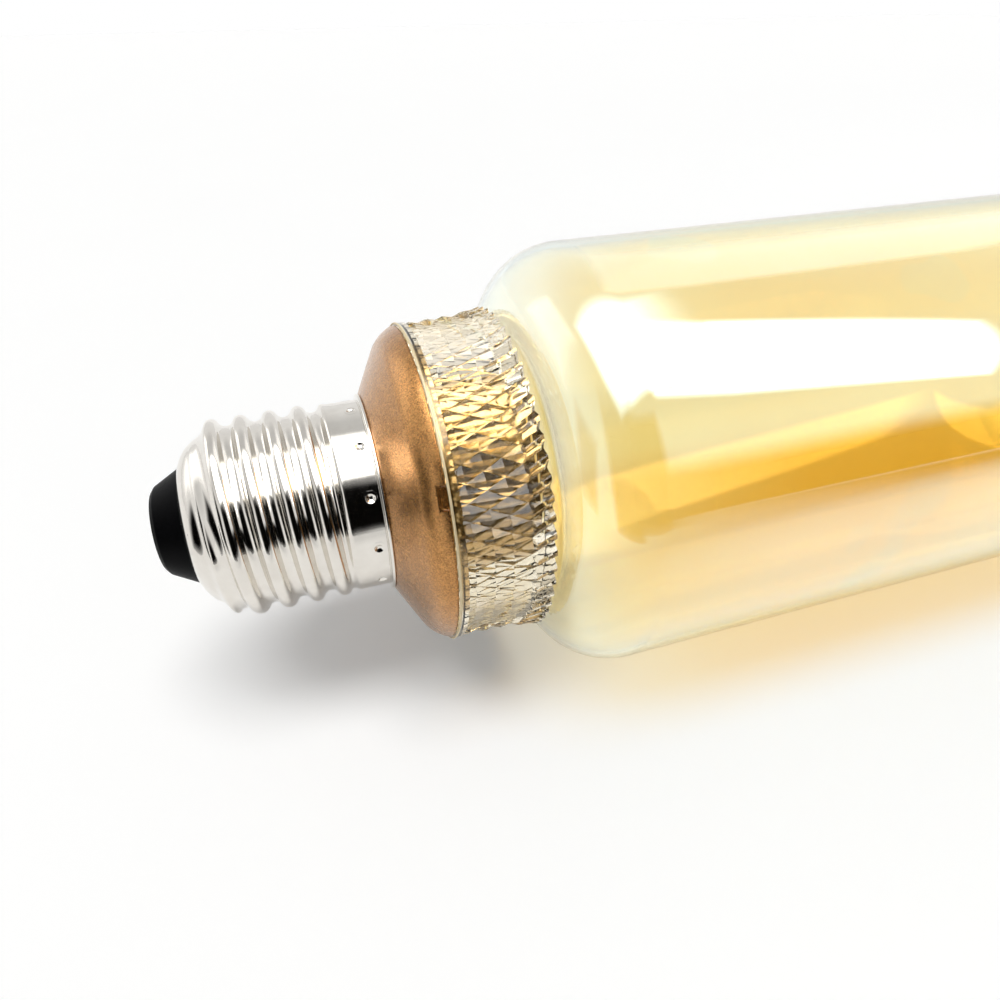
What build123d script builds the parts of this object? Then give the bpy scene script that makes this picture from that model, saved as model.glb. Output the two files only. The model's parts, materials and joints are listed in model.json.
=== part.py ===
from build123d import *
from math import cos, radians, sin, tan
import os

os.makedirs("parts", exist_ok=True)

# Tubular LED lamp on a 27 mm screw cap, in millimetres.
# The axis is +X: the centre contact's face is at the origin and the closed glass end is at +X.

# Fits
fit_gap = 0.05
wire_gap = 0.1
solder_gap = 0.02
part_gap = 0.5

# Centre contact
contact_radius = 3.4
contact_thickness = 0.8
contact_proud = 0.3
stem_wall = 0.9
stem_length = 3.4

# Insulator
insulator_rim = 1.8
insulator_bevel = 0.65
insulator_nose_length = 0.5
insulator_setback = 0.25
insulator_length = 3.7
insulator_plug_length = 2.6

# Screw shell
shell_wall = 0.5
thread_crest_radius = 13.15
thread_depth = 1.15
thread_pitch = 3.629
thread_flat = 0.7
thread_lead_in = 0.2
thread_length = 14.7
run_out_length = 0.5
knee_drop = 3.25
knee_length = 1.2
end_drop = 1.9
shoulder_length = 4.5
collar_drop = 0.34
collar_length = 3.9
lip_height = 0.74
lip_thickness = 0.5

# Skirt, the housing of the driver
skirt_rim_radius = 21.8
skirt_length = 6.0
skirt_cone_drop = 2.7
skirt_cone_length = 2.9
skirt_seat_drop = 0.05
rim_wall = 1.55
spigot_setback = 3.4
spigot_wall = 1.2
spigot_bore_length = 0.6
pocket_depth = 1.0
pocket_step = 1.6
ledge_width = 1.65
slot_depth = 0.5
slot_floor = 1.0

# Crystal ring
ring_length = 12.05
ring_proud = 0.2
ring_flare = 0.6
ring_spigot_length = 1.5
ring_spigot_wall = 1.2
ring_edge_chamfer = 0.3
facet_count = 60
facet_angle = 148.6
facet_start = 2.2
facet_column = 2.35
facet_columns = 3
facet_lead = 1.0
facet_depth = 0.86
facet_slope = 52.0
facet_overcut = 0.6
tab_angle = 151.5
tab_width = 2.7
tab_length = 1.05
tab_gap = 0.12

# Glass envelope and its seal
glass_gap = 1.3
glass_length = 137.55
glass_wall = 0.9
tube_radius = 30.12
neck_length = 11.25
neck_round = 2.15
seal_thickness = 0.6
seal_length = 9.0
seal_from_end = 0.45

# Light engine
plate_thickness = 1.6
led_board_thickness = 1.0
led_board_margin = 1.6
emitter_count = 9
emitter_inset = 6.5
emitter_width = 3.5
emitter_depth = 2.8
emitter_height = 0.7

# Driver
board_thickness = 1.0
board_clearance = 1.75
tongue_clearance = 2.0
tongue_half_width = 6.0
wire_radius = 0.6
capacitor_clearance = 1.75
input_capacitor_length = 11.0
output_capacitor_radius = 2.5
output_capacitor_length = 6.2
choke_radius = 3.5
choke_height = 6.0
choke_flange = 1.0
choke_waist_radius = 2.7
rectifier_length = 4.7
rectifier_height = 1.8
rectifier_width = 3.9
chip_length = 4.9
chip_height = 1.6
chip_width = 3.9
fuse_radius = 1.1
fuse_length = 6.5

# Radii that follow from the walls and fits
stem_bore_radius = wire_radius + 2 * wire_gap
stem_radius = stem_bore_radius + stem_wall
thread_root_radius = thread_crest_radius - thread_depth
knee_radius = thread_crest_radius - knee_drop
shell_end_radius = knee_radius - end_drop
collar_radius = thread_crest_radius - collar_drop
lip_radius = collar_radius + lip_height
shell_bore = thread_root_radius - shell_wall
collar_bore = collar_radius - shell_wall
mouth_radius = shell_end_radius - shell_wall
inner_knee_radius = knee_radius - shell_wall
insulator_face_radius = contact_radius + insulator_rim
insulator_edge_radius = insulator_face_radius + insulator_bevel
insulator_base_radius = shell_end_radius - insulator_setback
spigot_radius = shell_bore - fit_gap
spigot_bore = spigot_radius - spigot_wall
skirt_seat_radius = lip_radius - skirt_seat_drop
skirt_cone_radius = skirt_rim_radius - skirt_cone_drop
skirt_mouth_radius = skirt_rim_radius - rim_wall
pocket_radius = skirt_mouth_radius - pocket_step
cavity_radius = pocket_radius - ledge_width
ring_left_radius = skirt_rim_radius + ring_proud
ring_right_radius = ring_left_radius + ring_flare
ring_spigot_radius = skirt_mouth_radius - fit_gap
ring_inner_radius = ring_spigot_radius - ring_spigot_wall
neck_radius = ring_inner_radius - seal_thickness
shoulder_radius = neck_radius + neck_round
corner_radius = tube_radius - shoulder_radius
plate_radius = pocket_radius - fit_gap
led_board_radius = plate_radius - led_board_margin
emitter_circle = led_board_radius - emitter_inset
board_half_width = spigot_bore + slot_depth - fit_gap
board_face = board_thickness / 2
input_capacitor_radius = (spigot_bore - board_face - capacitor_clearance) / 2
lead_height = board_face + wire_radius + solder_gap
lead_spread = wire_radius + wire_gap / 2
lead_hole_radius = lead_spread + wire_radius + wire_gap

# Stations along the axis, from the contact's face
x_insulator = contact_proud
x_shell = x_insulator + insulator_length
x_plug = x_shell + insulator_plug_length
x_knee = x_shell + knee_length
x_thread = x_shell + shoulder_length
x_run_out = x_thread + thread_length
x_collar = x_run_out + run_out_length
x_lip = x_collar + collar_length
x_seat = x_lip + lip_thickness
x_ring = x_seat + skirt_length
x_ring_end = x_ring + ring_length
x_glass = x_ring_end + glass_gap
x_end = x_glass + glass_length
x_neck = x_glass - neck_length
x_inner_knee = x_knee + shell_wall
shoulder_run = (shoulder_length - knee_length) / knee_drop
x_bore = x_inner_knee + shoulder_run * (shell_bore - inner_knee_radius)
x_spigot = x_bore + spigot_setback
x_mouth = x_ring - ring_spigot_length - fit_gap
x_pocket = x_mouth - pocket_depth
x_led_board = x_pocket + plate_thickness
x_led_face = x_led_board + led_board_thickness
x_tongue = x_plug + tongue_clearance
x_board = x_spigot + slot_floor
x_board_end = x_pocket - board_clearance


def round_place(x, radius, angle):
    """A place on a circle round the lamp's axis, with local Y pointing outwards."""
    turn = radians(angle)
    return Location((x, radius * cos(turn), radius * sin(turn)), (angle, 0, 0))


def spaced(count, x, radius, first_angle):
    """Places spread evenly round the lamp's axis."""
    return [round_place(x, radius, first_angle + 360 * k / count) for k in range(count)]


def profile(*points):
    """A straight-sided half section of (x, radius) points, to revolve about the lamp's axis."""
    with BuildSketch(Plane.XZ) as section:
        with BuildLine():
            Polyline(*points, close=True)
        make_face()
    return section.sketch


def rod(plane, place, radius, length):
    """A plain round body that starts on a plane."""
    with BuildPart() as piece:
        with BuildSketch(plane):
            with Locations(place):
                Circle(radius)
        extrude(amount=length)
    return piece


# Centre contact: an eyelet whose hollow stem takes the live lead
with BuildPart() as centre_contact:
    x_stem_end = contact_thickness + stem_length
    half_section = profile(
        (0, 0), (0, contact_radius), (contact_thickness, contact_radius),
        (contact_thickness, stem_radius), (x_stem_end, stem_radius),
        (x_stem_end, stem_bore_radius), (contact_thickness, stem_bore_radius),
        (contact_thickness, 0),
    )
    revolve(half_section, axis=Axis.X)
centre_contact.part.label = "centre_contact"
export_step(centre_contact.part, "parts/centre_contact.step")

# Insulator: a black cone with a recess for the contact and a plug inside the shell
with BuildPart() as insulator:
    recess_radius = contact_radius + fit_gap
    hole_radius = stem_radius + fit_gap
    plug_radius = mouth_radius - fit_gap
    x_edge = x_insulator + insulator_nose_length
    half_section = profile(
        (contact_thickness, hole_radius), (contact_thickness, recess_radius),
        (x_insulator, recess_radius), (x_insulator, insulator_face_radius),
        (x_edge, insulator_edge_radius), (x_shell, insulator_base_radius),
        (x_shell, plug_radius), (x_plug, plug_radius), (x_plug, hole_radius),
    )
    revolve(half_section, axis=Axis.X)
insulator.part.label = "insulator"
export_step(insulator.part, "parts/insulator.step")

# One turn of the thread's groove, straight-flanked, open well past the crests
flank_run = (thread_pitch / 2 - thread_flat) / thread_depth
tool_height = thread_depth + thread_flat / 2
tool_half_width = thread_flat / 2 + flank_run * tool_height
with BuildPart() as groove_turn:
    with BuildLine() as groove_path:
        helix = Helix(thread_pitch, thread_pitch, thread_root_radius, direction=(1, 0, 0))
    groove_start = helix @ 0
    outward = Vector(0, groove_start.Y, groove_start.Z)
    with BuildSketch(Plane(origin=groove_start, x_dir=outward, z_dir=helix % 0)):
        with BuildLine():
            Polyline(
                (0, -thread_flat / 2), (tool_height, -tool_half_width),
                (tool_height, tool_half_width), (0, thread_flat / 2), close=True,
            )
        make_face()
    sweep(path=groove_path.wires()[0], is_frenet=True)

# Screw shell: drawn from thin metal, with a helical groove patterned turn by turn and a clear bore
with BuildPart() as screw_shell:
    half_section = profile(
        (x_shell, 0), (x_shell, shell_end_radius), (x_knee, knee_radius),
        (x_thread, thread_crest_radius), (x_run_out, thread_crest_radius),
        (x_collar, collar_radius), (x_lip, collar_radius), (x_lip, lip_radius),
        (x_seat, lip_radius), (x_seat, 0),
    )
    revolve(half_section, axis=Axis.X)
    first_turn = x_shell - thread_lead_in
    turn_count = int((x_run_out - first_turn) / thread_pitch)
    with Locations(*[(first_turn + k * thread_pitch, 0, 0) for k in range(turn_count)]):
        add(groove_turn.part, mode=Mode.SUBTRACT)
    half_section = profile(
        (x_shell, 0), (x_shell, mouth_radius), (x_inner_knee, inner_knee_radius),
        (x_bore, shell_bore), (x_collar, shell_bore), (x_collar, collar_bore),
        (x_seat, collar_bore), (x_seat, 0),
    )
    revolve(half_section, axis=Axis.X, mode=Mode.SUBTRACT)
screw_shell.part.label = "screw_shell"
export_step(screw_shell.part, "parts/screw_shell.step")

# Skirt: a bell on a spigot, with board slots, a pocket for the heat plate and a notch for the tab
with BuildPart() as skirt:
    x_cone = x_seat + skirt_cone_length
    x_cavity = x_seat + spigot_bore_length
    with BuildSketch(Plane.XZ):
        with BuildLine():
            cone = Line((x_seat, skirt_seat_radius), (x_cone, skirt_cone_radius))
            TangentArc((x_cone, skirt_cone_radius), (x_ring, skirt_rim_radius), tangent=cone % 1)
            Polyline(
                (x_ring, skirt_rim_radius), (x_ring, skirt_mouth_radius),
                (x_mouth, skirt_mouth_radius), (x_mouth, pocket_radius),
                (x_pocket, pocket_radius), (x_pocket, cavity_radius),
                (x_cavity, spigot_bore), (x_spigot, spigot_bore), (x_spigot, spigot_radius),
                (x_collar, spigot_radius), (x_collar, collar_bore - fit_gap),
                (x_seat, collar_bore - fit_gap), (x_seat, skirt_seat_radius),
            )
        make_face()
    revolve(axis=Axis.X)
    slot_width = board_thickness + 2 * fit_gap
    slot_height = 2 * (spigot_bore + slot_depth)
    with Locations(((x_board + x_pocket) / 2, 0, 0)):
        Box(x_pocket - x_board, slot_width, slot_height, mode=Mode.SUBTRACT)
    notch_length = tab_length + tab_gap
    notch_width = tab_width + 2 * tab_gap
    rim_middle = (skirt_rim_radius + skirt_mouth_radius) / 2
    with Locations(round_place(x_ring - notch_length / 2, rim_middle, tab_angle)):
        Box(notch_length, 2 * rim_wall, notch_width, mode=Mode.SUBTRACT)
skirt.part.label = "skirt"
export_step(skirt.part, "parts/skirt.step")


def facet_groove(x_from, x_to, twist):
    """A straight V cutter that leans round the ring by twist degrees for each facet column."""
    def bottom(x):
        columns = (x - x_ring - facet_start) / facet_column
        radius = ring_left_radius + ring_flare * (x - x_ring) / ring_length - facet_depth
        return Vector(*round_place(x, radius, facet_angle + twist * columns).position)

    start, end = bottom(x_from), bottom(x_to)
    middle = (start + end) * 0.5
    run = (end - start).normalized()
    outward = Vector(0, middle.Y, middle.Z).normalized()
    height = facet_depth + facet_overcut
    half_width = height * tan(radians(facet_slope))
    with BuildPart() as cutter:
        with BuildSketch(Plane(origin=start, x_dir=outward, z_dir=run)):
            with BuildLine():
                Polyline((0, 0), (height, half_width), (height, -half_width), close=True)
            make_face()
        extrude(amount=(end - start).length)
    return cutter.part


# Crystal ring: clear, with two crossing families of V grooves that leave rows of diamonds.
# The family that leans back runs out through the right edge and leaves a row of slanted teeth.
half_facet = 180 / facet_count
x_facets = x_ring + facet_start - facet_lead
x_last_column = x_ring + facet_start + facet_columns * facet_column
tooth_groove = facet_groove(x_facets, x_ring_end + facet_overcut, -half_facet)
cross_groove = facet_groove(x_facets, x_last_column, half_facet)
with BuildPart() as crystal_ring:
    x_ring_spigot = x_ring - ring_spigot_length
    edge_radius = ring_left_radius - ring_edge_chamfer
    half_section = profile(
        (x_ring_spigot, ring_inner_radius), (x_ring_spigot, ring_spigot_radius),
        (x_ring, ring_spigot_radius), (x_ring, edge_radius),
        (x_ring + ring_edge_chamfer, ring_left_radius), (x_ring_end, ring_right_radius),
        (x_ring_end, ring_inner_radius),
    )
    revolve(half_section, axis=Axis.X)
    with Locations(*spaced(facet_count, 0, 0, 0)):
        add(tooth_groove, mode=Mode.SUBTRACT)
    with Locations(*spaced(facet_count, 0, 0, 0)):
        add(cross_groove, mode=Mode.SUBTRACT)
    tab_height = edge_radius - skirt_mouth_radius
    tab_middle = skirt_mouth_radius + tab_height / 2
    with Locations(round_place(x_ring - tab_length / 2, tab_middle, tab_angle)):
        Box(tab_length, tab_height, tab_width)
crystal_ring.part.label = "crystal_ring"
export_step(crystal_ring.part, "parts/crystal_ring.step")


def envelope_section(inset):
    """The blown glass form's half section, drawn in by inset: neck, bend, round shoulder, tube, dome."""
    x_bend = x_glass - neck_round
    x_corner = x_glass + corner_radius
    x_dome = x_end - tube_radius
    neck = neck_radius - inset
    tube = tube_radius - inset
    with BuildSketch(Plane.XZ) as section:
        with BuildLine():
            Polyline((x_neck, 0), (x_neck, neck), (x_bend, neck))
            CenterArc((x_bend, shoulder_radius), neck_round + inset, -90, 90)
            CenterArc((x_corner, shoulder_radius), corner_radius - inset, 180, -90)
            Line((x_corner, tube), (x_dome, tube))
            CenterArc((x_dome, 0), tube, 90, -90)
            Line((x_dome + tube, 0), (x_neck, 0))
        make_face()
    return section.sketch


# Glass envelope: one blown piece, open at the neck
with BuildPart() as glass_envelope:
    revolve(envelope_section(0), axis=Axis.X)
    revolve(envelope_section(glass_wall), axis=Axis.X, mode=Mode.SUBTRACT)
glass_envelope.part.label = "glass_envelope"
export_step(glass_envelope.part, "parts/glass_envelope.step")

# Neck seal: the amber adhesive that holds the glass neck in the ring
with BuildPart() as neck_seal:
    x_seal = x_neck + seal_from_end
    x_seal_end = x_seal + seal_length
    seal_inner = neck_radius + fit_gap
    seal_outer = ring_inner_radius - fit_gap
    half_section = profile(
        (x_seal, seal_inner), (x_seal, seal_outer),
        (x_seal_end, seal_outer), (x_seal_end, seal_inner),
    )
    revolve(half_section, axis=Axis.X)
neck_seal.part.label = "neck_seal"
export_step(neck_seal.part, "parts/neck_seal.step")

# Heat plate: the aluminium disc in the skirt's pocket, with a hole for the pair of leads
with BuildPart() as heat_plate:
    with BuildSketch(Plane.YZ.offset(x_pocket)):
        Circle(plate_radius)
        with Locations((lead_height, 0)):
            Circle(lead_hole_radius, mode=Mode.SUBTRACT)
    extrude(amount=plate_thickness)
heat_plate.part.label = "heat_plate"
export_step(heat_plate.part, "parts/heat_plate.step")

# LED board: the metal-core disc on the heat plate
with BuildPart() as led_board:
    with BuildSketch(Plane.YZ.offset(x_led_board)):
        Circle(led_board_radius)
        with Locations((lead_height, 0)):
            Circle(lead_hole_radius, mode=Mode.SUBTRACT)
    extrude(amount=led_board_thickness)
led_board.part.label = "led_board"
export_step(led_board.part, "parts/led_board.step")

# LED emitters: one group of surface-mounted packages round the board
with BuildPart() as led_emitters:
    x_emitter = x_led_face + emitter_height / 2
    with Locations(*spaced(emitter_count, x_emitter, emitter_circle, 0)):
        Box(emitter_height, emitter_depth, emitter_width)
led_emitters.part.label = "led_emitters"
export_step(led_emitters.part, "parts/led_emitters.step")

# Driver board: stands on edge in the spigot's slots, with a tongue that reaches into the shell
with BuildPart() as driver_board:
    board_length = x_board_end - x_board
    tongue_length = x_board - x_tongue
    with BuildSketch(Plane.XZ):
        with Locations((x_board + board_length / 2, 0)):
            Rectangle(board_length, 2 * board_half_width)
        with Locations((x_board - tongue_length / 2, 0)):
            Rectangle(tongue_length, 2 * tongue_half_width)
    extrude(amount=board_face, both=True)
driver_board.part.label = "driver_board"
export_step(driver_board.part, "parts/driver_board.step")

# Places of the driver's components along and across the board
x_input_capacitor = x_board_end - input_capacitor_length - part_gap
x_choke = x_board + choke_radius + part_gap
x_output_capacitor = x_choke + choke_radius + part_gap
x_chip = x_board + chip_length / 2 + part_gap
x_rectifier = x_board + rectifier_length / 2 + part_gap
z_rectifier = input_capacitor_radius + rectifier_width / 2 + part_gap
z_fuse = -input_capacitor_radius - fuse_radius - part_gap

# Capacitors: electrolytic cans lying along opposite faces of the driver board
input_capacitor = rod(
    Plane.YZ.offset(x_input_capacitor), (-board_face - input_capacitor_radius, 0),
    input_capacitor_radius, input_capacitor_length,
)
input_capacitor.part.label = "input_capacitor"
export_step(input_capacitor.part, "parts/input_capacitor.step")
output_capacitor = rod(
    Plane.YZ.offset(x_output_capacitor), (board_face + output_capacitor_radius, 0),
    output_capacitor_radius, output_capacitor_length,
)
output_capacitor.part.label = "output_capacitor"
export_step(output_capacitor.part, "parts/output_capacitor.step")

# Choke: a drum core with a wound waist, standing on the board
with BuildPart() as choke:
    with BuildSketch(Plane.ZX.offset(board_face)):
        with Locations((0, x_choke)):
            Circle(choke_radius)
    extrude(amount=choke_flange)
    with BuildSketch(Plane.ZX.offset(board_face + choke_flange)):
        with Locations((0, x_choke)):
            Circle(choke_waist_radius)
    extrude(amount=choke_height - 2 * choke_flange)
    with BuildSketch(Plane.ZX.offset(board_face + choke_height - choke_flange)):
        with Locations((0, x_choke)):
            Circle(choke_radius)
    extrude(amount=choke_flange)
choke.part.label = "choke"
export_step(choke.part, "parts/choke.step")

# Bridge rectifier and driver chip: moulded blocks flat on the board, beside the input capacitor
with BuildPart() as bridge_rectifier:
    with Locations((x_rectifier, -board_face - rectifier_height / 2, z_rectifier)):
        Box(rectifier_length, rectifier_height, rectifier_width)
bridge_rectifier.part.label = "bridge_rectifier"
export_step(bridge_rectifier.part, "parts/bridge_rectifier.step")
with BuildPart() as driver_chip:
    with Locations((x_chip, -board_face - chip_height / 2, 0)):
        Box(chip_length, chip_height, chip_width)
driver_chip.part.label = "driver_chip"
export_step(driver_chip.part, "parts/driver_chip.step")

# Fuse resistor: an axial body along the side of the input capacitor
fuse_resistor = rod(
    Plane.YZ.offset(x_input_capacitor), (-board_face - fuse_radius, z_fuse),
    fuse_radius, fuse_length,
)
fuse_resistor.part.label = "fuse_resistor"
export_step(fuse_resistor.part, "parts/fuse_resistor.step")

# Live lead: from the contact's stem to the end of the board's tongue
live_lead = rod(
    Plane.YZ.offset(contact_thickness), (0, 0), wire_radius, x_tongue - contact_thickness
)
live_lead.part.label = "live_lead"
export_step(live_lead.part, "parts/live_lead.step")

# Neutral lead: from the tongue's face straight out to the inside of the screw shell
x_neutral = x_spigot - wire_radius - 2 * wire_gap
neutral_reach = (shell_bore**2 - (lead_height + wire_radius) ** 2) ** 0.5
neutral_lead = rod(
    Plane.XY.offset(-neutral_reach), (x_neutral, -lead_height),
    wire_radius, neutral_reach - tongue_half_width / 2,
)
neutral_lead.part.label = "neutral_lead"
export_step(neutral_lead.part, "parts/neutral_lead.step")

# LED leads: side by side from the driver board through the heat plate to the LED board's face
x_led_leads = x_output_capacitor + output_capacitor_length + part_gap
for label, side in (("led_lead_positive", lead_spread), ("led_lead_negative", -lead_spread)):
    led_lead = rod(
        Plane.YZ.offset(x_led_leads), (lead_height, side),
        wire_radius, x_led_face + wire_radius - x_led_leads,
    )
    led_lead.part.label = label
    export_step(led_lead.part, f"parts/{label}.step")
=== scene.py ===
# %% [markdown]
# # An amber tube lamp on a screw cap
# This lesson dresses a lamp that already exists as plain solids. The solids are loaded first and never
# moved: they are the frame that every new surface has to fit. Each step then says what a piece is on the
# real lamp, how it could be made, and why this way was chosen.

# %% load the frame
import json
from math import pi, radians
import bmesh
import bpy
import numpy as np
from mathutils import Matrix, Vector


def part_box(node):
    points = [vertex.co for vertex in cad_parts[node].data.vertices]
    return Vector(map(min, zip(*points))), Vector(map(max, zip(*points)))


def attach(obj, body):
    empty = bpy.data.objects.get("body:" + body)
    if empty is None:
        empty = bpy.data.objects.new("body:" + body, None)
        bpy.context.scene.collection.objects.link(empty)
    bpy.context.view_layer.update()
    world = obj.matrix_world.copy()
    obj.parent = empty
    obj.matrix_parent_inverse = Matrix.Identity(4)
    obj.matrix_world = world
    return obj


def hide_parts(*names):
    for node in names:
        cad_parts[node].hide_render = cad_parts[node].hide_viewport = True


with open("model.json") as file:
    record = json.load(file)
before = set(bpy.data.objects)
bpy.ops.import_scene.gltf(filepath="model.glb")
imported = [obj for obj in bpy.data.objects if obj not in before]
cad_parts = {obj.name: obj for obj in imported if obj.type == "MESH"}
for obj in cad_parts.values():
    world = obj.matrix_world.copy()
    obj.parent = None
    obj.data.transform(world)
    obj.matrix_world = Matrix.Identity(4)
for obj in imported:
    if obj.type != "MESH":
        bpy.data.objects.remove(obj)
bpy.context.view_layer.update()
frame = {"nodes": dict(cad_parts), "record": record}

MM = 0.001
nodes_of_frame = frame["nodes"]
print("solids in the frame:", len(nodes_of_frame))

# %% [markdown]
# ## Measuring the frame
# The lamp's axis is +X, and the centre contact's face is at the origin. Where a solid ends is read from its
# box, so a new surface starts and stops with the piece that it stands for. Only what a box can't tell, such
# as the pitch of the thread, is written down again. All lengths in this lesson are millimetres.

# %% stations along the axis
def span(node):
    """Where a solid starts and ends along the axis, and its largest radius, in millimetres."""
    low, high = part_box(node)
    return low.x / MM, high.x / MM, high.z / MM


x_insulator, x_plug, insulator_base = span("insulator")
x_shell, x_seat, lip_radius = span("screw_shell")
x_spigot, x_ring, skirt_rim = span("skirt")
x_ring_spigot, x_ring_end, ring_edge_radius = span("crystal_ring")
x_neck, x_end, tube_radius = span("glass_envelope")
x_plate = span("heat_plate")[0]
floor_z = -tube_radius
fit_gap = 0.05
skin_clearance = 0.02
print("cap from", round(x_shell, 2), "to", round(x_seat, 2), "and glass to", round(x_end, 2))


# %% [markdown]
# ## Turned surfaces
# Most of a lamp is round about one axis, so most of its surfaces can be drawn as an outline and turned.
# A modifier could do that, but a short function keeps full control of the rings of points, and the thread
# and the facets need that. An outline is a list of corners, each with the radius that rounds it.

# %% outlines and rings of points
near_axis = 0.02


def arc(middle, start, end, steps):
    """Points on the arc from start to end about middle, the short way round."""
    first = np.arctan2(start[1] - middle[1], start[0] - middle[0])
    last = np.arctan2(end[1] - middle[1], end[0] - middle[0])
    turn = (last - first + pi) % (2 * pi) - pi
    size = np.hypot(start[0] - middle[0], start[1] - middle[1])
    angle = first + turn * np.linspace(0, 1, steps + 1)
    return list(zip(middle[0] + size * np.cos(angle), middle[1] + size * np.sin(angle)))


def rounded(corners, steps=6):
    """An outline of (x, radius) points from corners (x, radius, rounding), with an arc at each rounding."""
    points = []
    for before, here, after in zip(corners[-1:] + corners[:-1], corners, corners[1:] + corners[:1]):
        corner, size = Vector(here[:2]), here[2]
        if not size:
            points.append(tuple(corner))
            continue
        back = (Vector(before[:2]) - corner).normalized()
        ahead = (Vector(after[:2]) - corner).normalized()
        half = back.angle(ahead) / 2
        reach = size / np.tan(half)
        middle = corner + (back + ahead).normalized() * (size / np.sin(half))
        points += arc(middle, corner + back * reach, corner + ahead * reach, steps)
    return points


def face_outward(mesh):
    """Turn every face of a closed mesh outward, as glass needs it to know its inside."""
    shape = bmesh.new()
    shape.from_mesh(mesh)
    bmesh.ops.recalc_face_normals(shape, faces=shape.faces)
    shape.to_mesh(mesh)
    shape.free()


def mesh_piece(name, points, faces, material, smooth_angle=40):
    """A mesh object from points in millimetres, smooth except where it bends sharply, riding on the lamp."""
    mesh = bpy.data.meshes.new(name)
    mesh.from_pydata((np.asarray(points) * MM).tolist(), [], faces)
    face_outward(mesh)
    mesh.shade_smooth()
    mesh.set_sharp_from_angle(angle=radians(smooth_angle))
    piece = bpy.data.objects.new(name, mesh)
    bpy.context.scene.collection.objects.link(piece)
    piece.data.materials.append(material)
    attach(piece, "root")
    print(name, "has", len(mesh.polygons), "faces")
    return piece


def ring_faces(rows, around):
    """Quads between rings of points, and between the last ring and the first, as an outline is closed."""
    faces = []
    for row in range(rows):
        after = (row + 1) % rows
        for k in range(around):
            turn = (k + 1) % around
            faces.append((row * around + k, after * around + k, after * around + turn, row * around + turn))
    return faces


def turned_points(x, radius, angle):
    """Points at stations x, radii and angles about the axis, given as arrays of one shape."""
    return np.stack([x, radius * np.cos(angle), radius * np.sin(angle)], axis=-1).reshape(-1, 3)


def turned(name, outline, material, around=128, smooth_angle=40):
    """A closed outline turned about the lamp's axis."""
    outline = np.array(outline)
    angle = np.linspace(0, 2 * pi, around, endpoint=False)
    x = np.repeat(outline[:, :1], around, axis=1)
    radius = np.repeat(outline[:, 1:], around, axis=1)
    points = turned_points(x, radius, np.broadcast_to(angle, x.shape))
    return mesh_piece(name, points, ring_faces(len(outline), around), material, smooth_angle)


print("a quarter arc in 6 steps has", len(arc((0, 0), (1, 0), (0, 1), 6)), "points")

# %% [markdown]
# ## Building with nodes
# A finish is a small network of nodes. Wiring it up node by node takes many lines, so four helpers do what
# returns: add a node with its inputs, reckon with two values, open a group with named sockets, and measure
# the surface's own coordinates in millimetres, so that the size of a pattern can be given as a real size.

# %% node helpers
def add_node(tree, kind, inputs=None, **settings):
    """A node with its settings, and its inputs as values or as links from other sockets."""
    node = tree.nodes.new(kind)
    for key, value in settings.items():
        setattr(node, key, value)
    for key, value in (inputs or {}).items():
        if isinstance(value, bpy.types.NodeSocket):
            tree.links.new(value, node.inputs[key])
        else:
            node.inputs[key].default_value = value
    return node


def reckon(tree, operation, first, second, **settings):
    """The result of a sum on two values or sockets."""
    node = add_node(tree, "ShaderNodeMath", {0: first, 1: second}, operation=operation, **settings)
    return node.outputs[0]


def new_group(name, inputs, outputs):
    """An empty shader node group with its sockets; inputs give their standing values."""
    tree = bpy.data.node_groups.new(name, "ShaderNodeTree")
    for title, value in inputs.items():
        socket = tree.interface.new_socket(title, in_out="INPUT", socket_type="NodeSocketFloat")
        socket.default_value = value
    for title, kind in outputs.items():
        tree.interface.new_socket(title, in_out="OUTPUT", socket_type=kind)
    return tree, tree.nodes.new("NodeGroupInput"), tree.nodes.new("NodeGroupOutput")


def millimetres(tree, size):
    """The surface's own coordinates, in units of size millimetres."""
    place = add_node(tree, "ShaderNodeTexCoord")
    scaled = add_node(
        tree, "ShaderNodeVectorMath",
        {"Vector": place.outputs["Object"], "Scale": reckon(tree, "DIVIDE", 1 / MM, size)},
        operation="SCALE",
    )
    return scaled.outputs[0]


print("one metre of surface is", round(1 / MM), "units of a pattern of size 1")

# %% [markdown]
# ## Shared effects
# Real surfaces are never one colour: nickel has faint draw lines, paint has cloudy patches, moulded plastic
# has a fine tooth, and everything has dust. Those effects return on many pieces, so each one is a node group
# with named inputs, built once and placed in the materials with other values.

# %% grain, draw lines and dust
def make_grain():
    """Soft irregular patches or a fine tooth, by the size that is asked for."""
    tree, given, result = new_group("grain", {"Size": 1.0, "Detail": 4.0}, {"Grain": "NodeSocketFloat"})
    place = millimetres(tree, given.outputs["Size"])
    noise = add_node(
        tree, "ShaderNodeTexNoise", {"Vector": place, "Scale": 1.0, "Detail": given.outputs["Detail"]}
    )
    tree.links.new(noise.outputs["Fac"], result.inputs["Grain"])
    return tree


def make_draw_lines():
    """Fine lines that run round the axis, as turning and deep drawing leave them."""
    tree, given, result = new_group(
        "draw_lines", {"Size": 0.2, "Length": 40.0}, {"Lines": "NodeSocketFloat"}
    )
    place = add_node(tree, "ShaderNodeTexCoord")
    apart = add_node(tree, "ShaderNodeSeparateXYZ", {"Vector": place.outputs["Object"]})
    joined = add_node(tree, "ShaderNodeCombineXYZ", {
        axis: reckon(tree, "DIVIDE", apart.outputs[axis], given.outputs[measure])
        for axis, measure in (("X", "Size"), ("Y", "Length"), ("Z", "Length"))
    })
    scaled = add_node(
        tree, "ShaderNodeVectorMath", {"Vector": joined.outputs[0], "Scale": 1 / MM}, operation="SCALE"
    )
    noise = add_node(tree, "ShaderNodeTexNoise", {"Vector": scaled.outputs[0], "Scale": 1.0, "Detail": 3.0})
    tree.links.new(noise.outputs["Fac"], result.inputs["Lines"])
    return tree


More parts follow.
